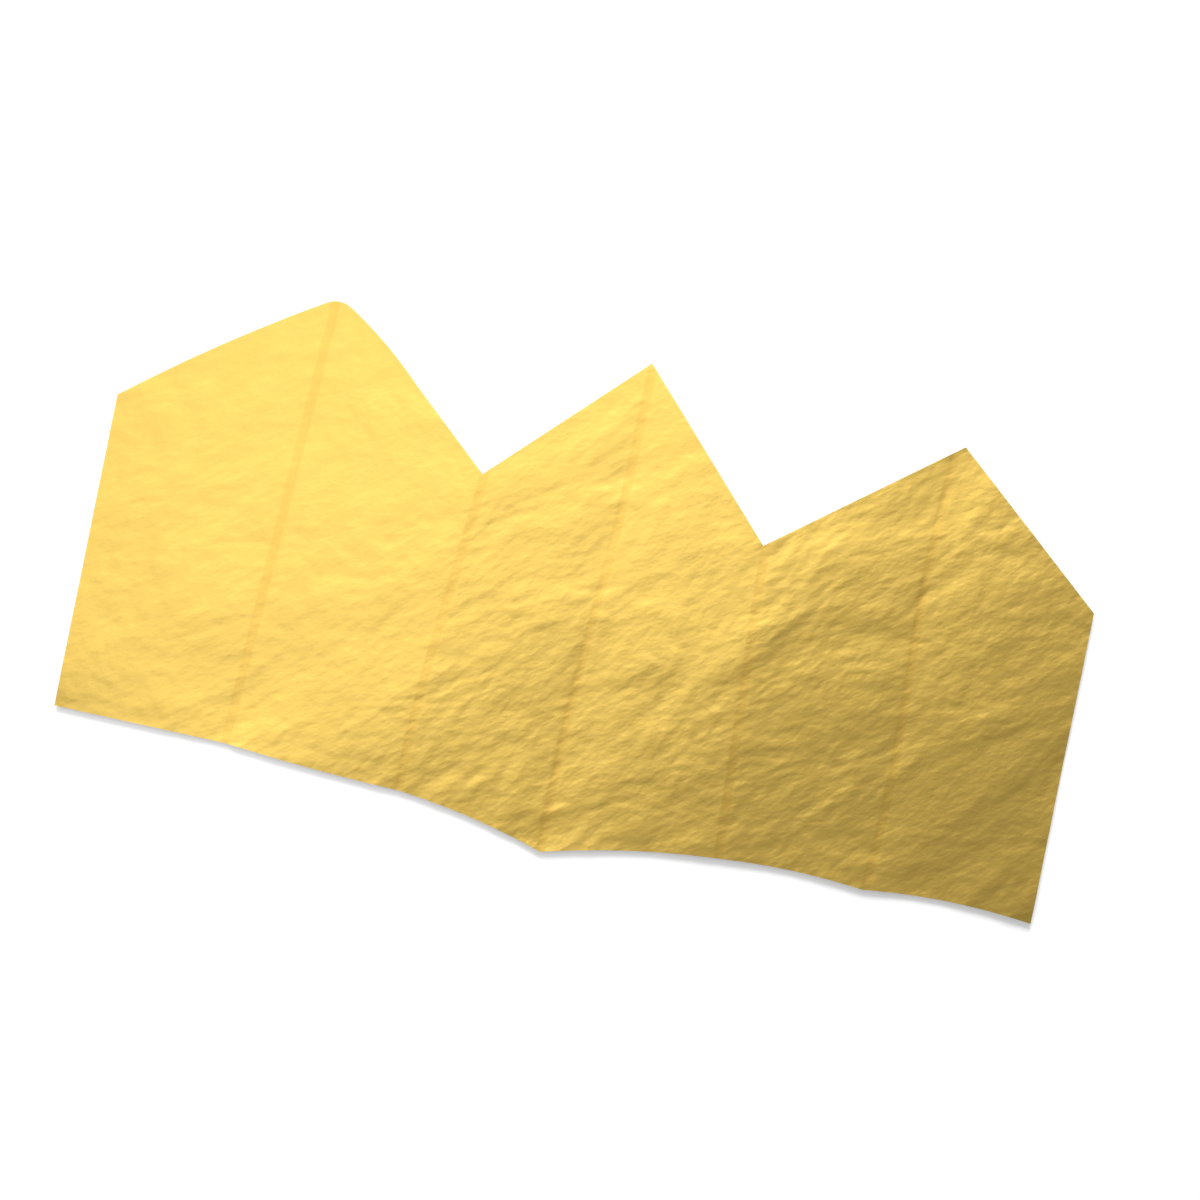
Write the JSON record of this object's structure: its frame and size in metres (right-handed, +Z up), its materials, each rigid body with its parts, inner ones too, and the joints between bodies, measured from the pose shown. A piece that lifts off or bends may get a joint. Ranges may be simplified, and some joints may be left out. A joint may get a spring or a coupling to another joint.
{
  "type": "paper crown",
  "caption": "Pleated sheet of gold foil paper with its top edge cut to points, for a party crown, lying opened out with its ends free.",
  "frame": {"origin": "centre of the crown's bounding box in plan, on the table that it lies on", "axes": "+X along the band from the rounded left point to the right, +Y from the lower edge to the points, +Z up out of the foil side"},
  "size_m": [0.2996, 0.1492, 0.0016],
  "materials": {
    "gold_foil_paper": "satin"
  },
  "bodies": {
    "root": {"crown_sheet": "gold_foil_paper"}
  },
  "joints": []
}
